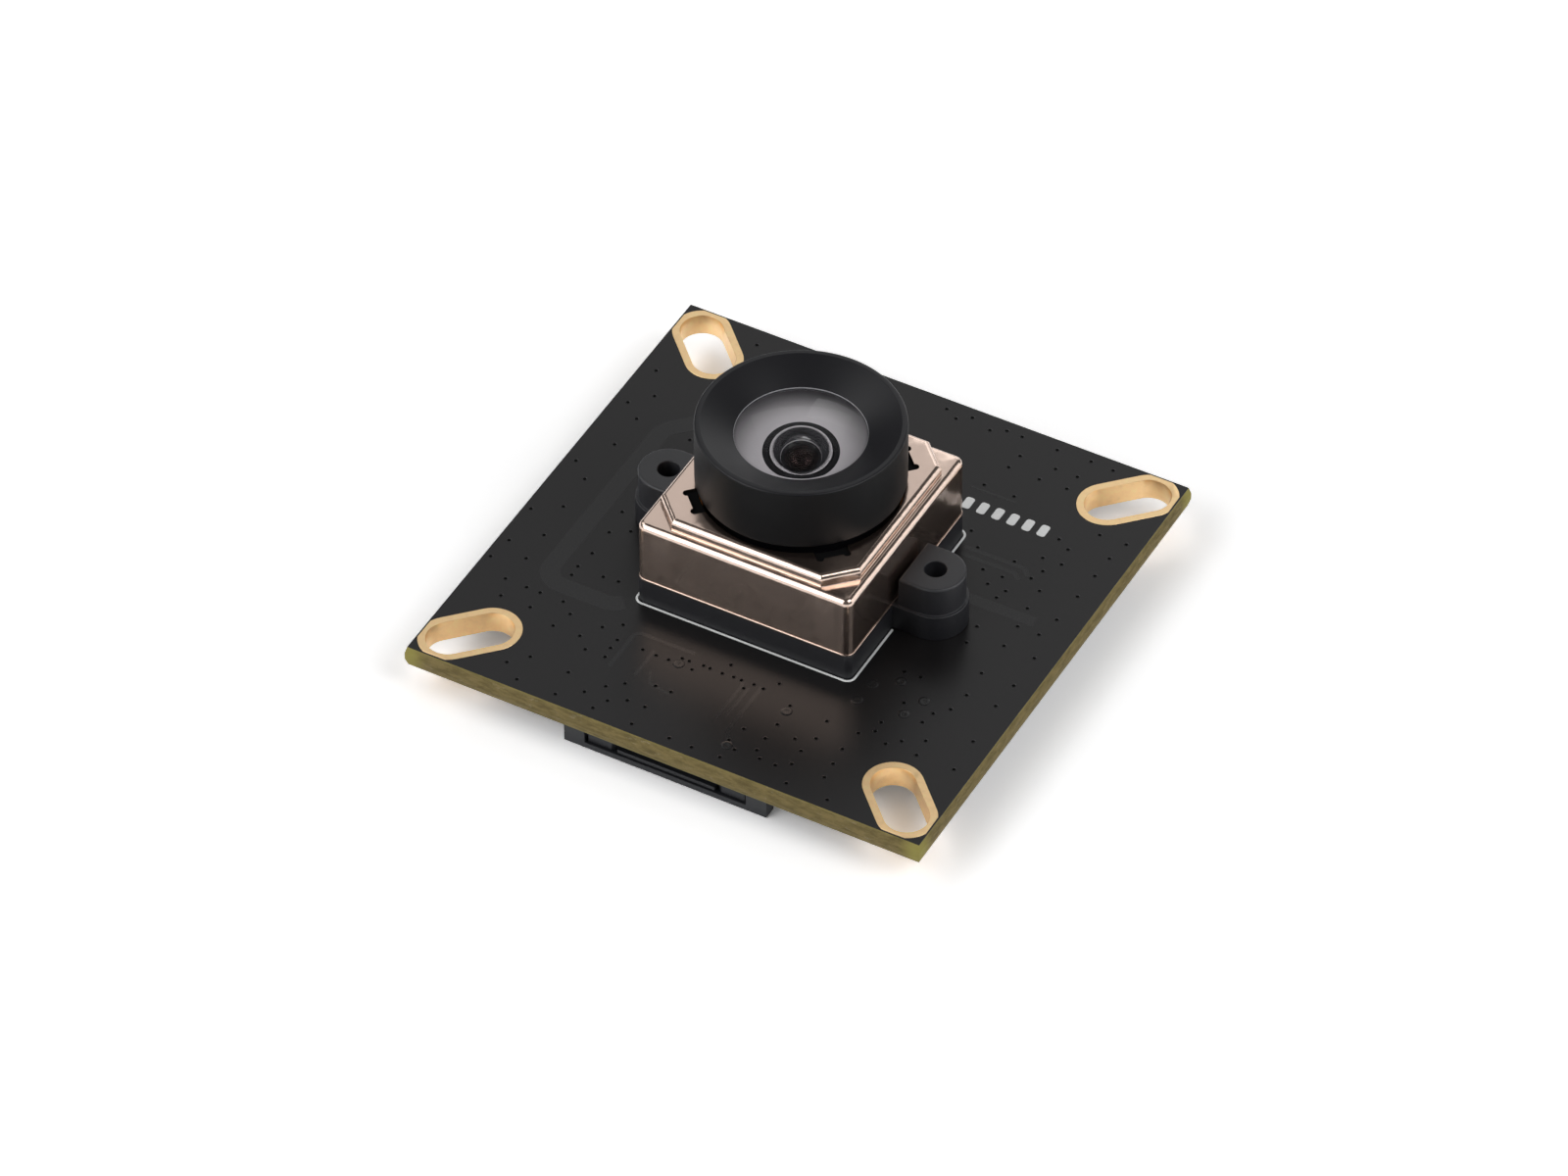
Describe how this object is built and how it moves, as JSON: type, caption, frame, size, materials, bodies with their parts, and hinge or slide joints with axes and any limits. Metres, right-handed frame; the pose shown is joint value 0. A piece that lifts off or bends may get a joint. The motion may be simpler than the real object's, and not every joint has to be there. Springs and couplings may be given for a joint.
{
  "type": "camera module",
  "caption": "Square black circuit board with an autofocus lens in a metal can between screw ears, a flat-cable socket below and a diagonal slot in each corner.",
  "frame": {"origin": "on the optical axis, in the plane that the socket and the two tall capacitors stand on", "axes": "+Z along the optical axis out of the lens, -Y towards the edge with the flat-cable socket, X along that edge"},
  "size_m": [0.0384, 0.0384, 0.0167],
  "materials": {
    "mask": "black satin solder mask on glass-fibre laminate",
    "gold": "thin immersion gold, satin",
    "ink": "white printed epoxy ink",
    "black_plastic": "black moulded plastic",
    "can_nickel": "warm nickel plating over drawn sheet",
    "magnet_plate": "nickel-plated magnet",
    "spring_copper": "bare copper alloy sheet",
    "coil_copper": "enamelled copper wire",
    "barrel_black": "matte black anodised",
    "lens_glass": "polished optical glass, coated",
    "silicon": "dark silicon on a laminate carrier",
    "screw_steel": "nickel-plated steel",
    "tin_metal": "tin-plated copper alloy",
    "package_epoxy": "black moulding epoxy with tinned ends",
    "oscillator_lid": "metal lid over a ceramic case",
    "capacitor_ceramic": "brown ceramic with tinned ends",
    "resistor_black": "black-coated ceramic with tinned ends"
  },
  "bodies": {
    "board": {"actuator_base": "black_plastic", "actuator_can": "can_nickel", "bulk_capacitor_left": "package_epoxy", "bulk_capacitor_right": "package_epoxy", "cable_socket_contacts": "tin_metal", "cable_socket_housing": "black_plastic", "cable_socket_tabs": "tin_metal", "chip_capacitors": "capacitor_ceramic", "chip_resistors": "resistor_black", "circuit_board": "mask", "clock_oscillator": "oscillator_lid", "focus_driver": "package_epoxy", "holder_base": "black_plastic", "image_sensor": "silicon", "ir_filter": "lens_glass", "lower_spring": "spring_copper", "magnet_front_left": "magnet_plate", "magnet_front_right": "magnet_plate", "magnet_rear_left": "magnet_plate", "magnet_rear_right": "magnet_plate", "mount_screw_left": "screw_steel", "mount_screw_right": "screw_steel", "sensor_cover_glass": "lens_glass", "silkscreen_marks": "ink", "silkscreen_outline": "ink", "slot_plating_front_left": "gold", "slot_plating_front_right": "gold", "slot_plating_rear_left": "gold", "slot_plating_rear_right": "gold", "spring_spacer": "black_plastic", "upper_spring": "spring_copper", "voltage_regulators": "package_epoxy"},
    "lens": {"lens_barrel": "barrel_black", "front_element": "lens_glass", "front_spacer": "black_plastic", "second_element": "lens_glass", "aperture_stop": "black_plastic", "third_element": "lens_glass", "rear_spacer": "black_plastic", "rear_element": "lens_glass", "rear_retaining_ring": "black_plastic", "lens_carrier": "black_plastic", "focus_coil": "coil_copper"},
    "cable_lock": {"cable_socket_slider": "black_plastic"}
  },
  "joints": [
    {"name": "focus", "type": "slide", "parent": "board", "child": "lens", "axis": [0, 0, 1], "range_m": [0, 0.0004], "stiffness_N_per_m": 150, "springref_m": -0.0004, "deforming": ["upper_spring", "lower_spring"]},
    {"name": "cable_lock_slide", "type": "slide", "parent": "board", "child": "cable_lock", "axis": [0, -1, 0], "range_m": [0, 0.001]}
  ]
}
